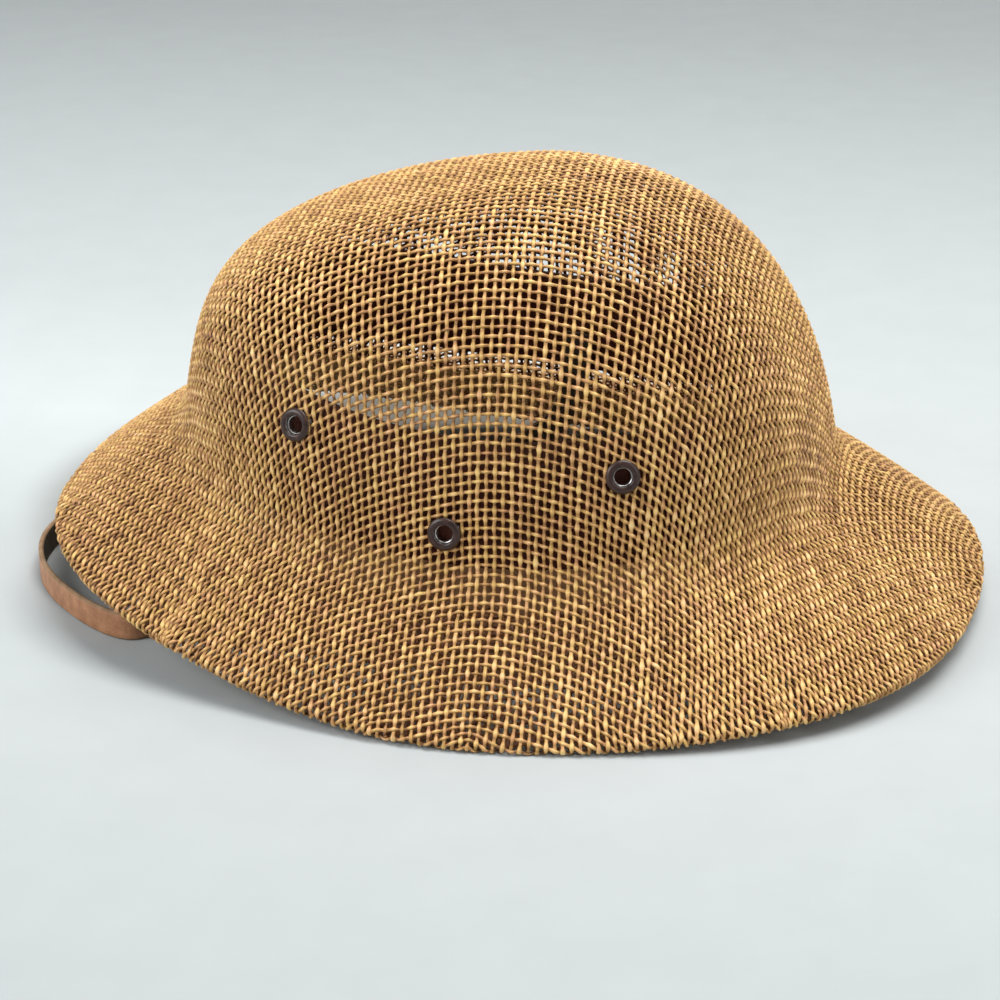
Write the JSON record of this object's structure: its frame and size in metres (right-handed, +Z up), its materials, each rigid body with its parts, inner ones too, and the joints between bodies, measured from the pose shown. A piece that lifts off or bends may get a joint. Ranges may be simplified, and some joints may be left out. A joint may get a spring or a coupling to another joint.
{
  "type": "pith helmet",
  "caption": "Domed sun helmet moulded from open woven paper cord, with a sloping brim, vent eyelets, an inner sweatband and a leather chin strap.",
  "frame": {"origin": "on the surface that the helmet stands on, under the middle of its outline seen from above", "axes": "+X to the back of the helmet, -X to the front, -Y to the wearer's left, +Z up"},
  "size_m": [0.3334, 0.2784, 0.1482],
  "materials": {
    "woven_cord": "matt woven paper cord",
    "band_leather": "dark smooth leatherette",
    "strap_leather": "tan grained leather",
    "eyelet_metal": "dark brown paint, bare metal in the bore"
  },
  "bodies": {
    "root": {"shell": "woven_cord", "sweatband": "band_leather", "chin_strap": "strap_leather", "vent_eyelet_left_front": "eyelet_metal", "vent_eyelet_left_back": "eyelet_metal", "vent_eyelet_left_low": "eyelet_metal", "vent_eyelet_right_front": "eyelet_metal", "vent_eyelet_right_back": "eyelet_metal", "vent_eyelet_right_low": "eyelet_metal"}
  },
  "joints": []
}
